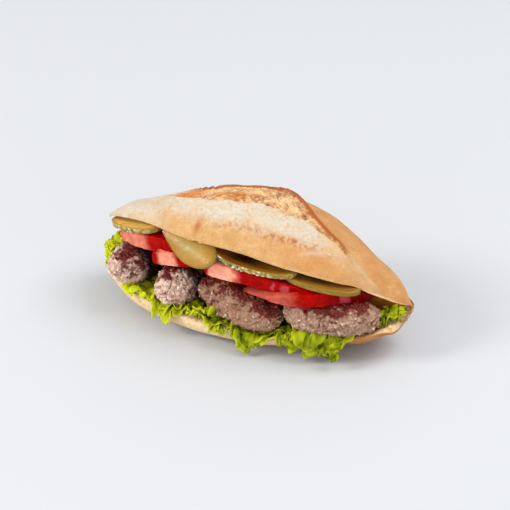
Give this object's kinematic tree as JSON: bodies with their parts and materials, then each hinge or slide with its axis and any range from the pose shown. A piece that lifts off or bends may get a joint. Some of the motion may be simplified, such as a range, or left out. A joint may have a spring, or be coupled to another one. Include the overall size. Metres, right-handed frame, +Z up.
{
  "type": "meatball sandwich",
  "caption": "Pointed oval bread roll cut open along its front, filled with lettuce, finger-shaped meatballs, half-moon tomato slices and lengthwise gherkin slices.",
  "frame": {"origin": "middle of the whole sandwich's footprint box, at the height of the flat underside", "axes": "+Z up, +X along the roll towards its closed right tip, the open filled side faces -Y"},
  "size_m": [0.219, 0.096, 0.0907],
  "materials": {
    "baked_crust": "matte baked wheat crust, dusted with flour, with pale crumb on the cut faces",
    "lettuce_leaf": "fresh waxy leaf, slightly shiny, light green with paler ribs",
    "fried_mince": "coarse fried minced meat, moist, with darker browned tops",
    "tomato_flesh": "wet cut tomato with glossy jelly and skin",
    "pickled_gherkin": "wet translucent pickled gherkin with a bumpy green rind"
  },
  "bodies": {
    "root": {"bread": "baked_crust", "lettuce": "lettuce_leaf", "meatball_1": "fried_mince", "meatball_2": "fried_mince", "meatball_3": "fried_mince", "meatball_4": "fried_mince", "tomato_1": "tomato_flesh", "tomato_2": "tomato_flesh", "tomato_3": "tomato_flesh", "tomato_4": "tomato_flesh", "gherkin_1": "pickled_gherkin", "gherkin_2": "pickled_gherkin", "gherkin_3": "pickled_gherkin", "gherkin_4": "pickled_gherkin"}
  },
  "joints": []
}
